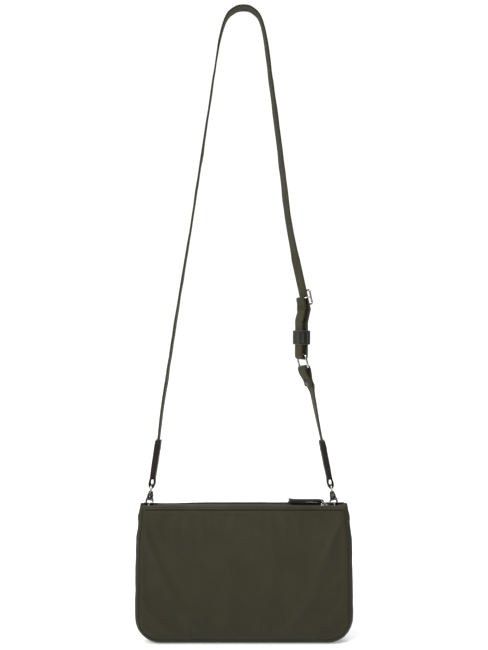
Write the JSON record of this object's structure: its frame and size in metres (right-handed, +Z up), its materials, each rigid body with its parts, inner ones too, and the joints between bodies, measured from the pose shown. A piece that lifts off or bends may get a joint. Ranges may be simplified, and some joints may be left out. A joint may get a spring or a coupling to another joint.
{
  "type": "crossbody purse",
  "caption": "Flat zipped fabric pouch on a long adjustable webbing strap with leather ends, swivel clips and half-round rings.",
  "frame": {"origin": "underside of the strap at its highest point, where the purse is carried", "axes": "+Z up, +X to the viewer's right, front of the pouch towards -Y"},
  "size_m": [0.2426, 0.0252, 0.7064],
  "materials": {
    "shell_fabric": "satin",
    "band_fabric": "satin",
    "lining": "matte",
    "webbing": "matte",
    "leather": "satin",
    "hardware": "polished",
    "dark_metal": "satin",
    "zip_tape": "matte",
    "zip_teeth": "satin"
  },
  "bodies": {
    "strap": {"strap_main": "webbing", "lower_strap": "webbing", "adjuster_ring": "hardware", "lower_rivet": "dark_metal", "left_leather_end": "leather", "right_leather_end": "leather", "left_end_rivet": "dark_metal", "right_end_rivet": "dark_metal", "left_clip_eye": "hardware", "right_clip_eye": "hardware"},
    "strap_slider": {"strap_slider": "hardware", "strap_tail_loop": "webbing"},
    "keeper": {"keeper": "leather"},
    "bag_back": {"back_panel": "shell_fabric", "back_lining": "lining", "gusset": "shell_fabric", "back_top_band": "band_fabric", "zip_tape_back": "zip_tape", "zip_teeth_back": "zip_teeth", "zip_bottom_stop": "hardware", "zip_top_stop_back": "hardware", "left_d_ring_tab": "band_fabric", "right_d_ring_tab": "band_fabric"},
    "bag_front": {"front_panel": "shell_fabric", "front_lining": "lining", "front_top_band": "band_fabric", "zip_tape_front": "zip_tape", "zip_teeth_front": "zip_teeth", "zip_top_stop_front": "hardware"},
    "zip_slider": {"zip_slider": "hardware"},
    "zip_pull": {"zip_pull_link": "hardware", "zip_pull_tab": "leather"},
    "left_clip": {"left_clip_body": "hardware", "left_gate_pin": "hardware", "left_gate_spring": "hardware"},
    "left_gate": {"left_gate": "hardware"},
    "left_d_ring": {"left_d_ring": "hardware"},
    "right_clip": {"right_clip_body": "hardware", "right_gate_pin": "hardware", "right_gate_spring": "hardware"},
    "right_gate": {"right_gate": "hardware"},
    "right_d_ring": {"right_d_ring": "hardware"}
  },
  "joints": [
    {"name": "bag_swing", "type": "hinge", "parent": "strap", "child": "bag_back", "pos_m": [0, 0, -0.5505], "axis": [1, 0, 0], "range_deg": [-30, 30]},
    {"name": "zip_slide", "type": "slide", "parent": "bag_back", "child": "zip_slider", "axis": [1, 0, 0], "range_m": [-0.138, 0]},
    {"name": "mouth_open", "type": "hinge", "parent": "bag_back", "child": "bag_front", "pos_m": [0, -0.008, -0.7045], "axis": [1, 0, 0], "range_deg": [0, 10]},
    {"name": "pull_flip", "type": "hinge", "parent": "zip_slider", "child": "zip_pull", "pos_m": [0.0905, 0, -0.55143], "axis": [0, 1, 0], "range_deg": [0, 60]},
    {"name": "strap_adjust", "type": "slide", "parent": "strap", "child": "strap_slider", "axis": [-0.1977, 0, 0.9803], "range_m": [0, 0.024]},
    {"name": "keeper_slide", "type": "slide", "parent": "strap", "child": "keeper", "axis": [-0.0436, 0, 0.999], "range_m": [-0.002, 0.007]},
    {"name": "left_clip_swivel", "type": "hinge", "parent": "strap", "child": "left_clip", "pos_m": [-0.1055, 0, -0.5505], "axis": [0.1461, 0, 0.9893], "range_deg": [-15, 15]},
    {"name": "left_gate_open", "type": "hinge", "parent": "left_clip", "child": "left_gate", "pos_m": [-0.10111, 0, -0.54609], "axis": [0, 1, 0], "range_deg": [0, 10], "stiffness_Nm_per_rad": 0.004, "springref_deg": -20.05},
    {"name": "left_d_ring_tilt", "type": "hinge", "parent": "bag_back", "child": "left_d_ring", "pos_m": [-0.1055, 0, -0.5585], "axis": [0, 1, 0], "range_deg": [-4, 4]},
    {"name": "right_clip_swivel", "type": "hinge", "parent": "strap", "child": "right_clip", "pos_m": [0.1004, 0, -0.5505], "axis": [-0.1942, 0, 0.981], "range_deg": [-15, 15]},
    {"name": "right_gate_open", "type": "hinge", "parent": "right_clip", "child": "right_gate", "pos_m": [0.0958, 0, -0.54631], "axis": [0, -1, 0], "range_deg": [0, 10], "stiffness_Nm_per_rad": 0.004, "springref_deg": -20.05},
    {"name": "right_d_ring_tilt", "type": "hinge", "parent": "bag_back", "child": "right_d_ring", "pos_m": [0.1004, 0, -0.5585], "axis": [0, 1, 0], "range_deg": [-4, 4]}
  ],
  "couplings": [
    {"joint": "mouth_open", "follows": "zip_slide", "rad_per_m": -1.2635}
  ]
}
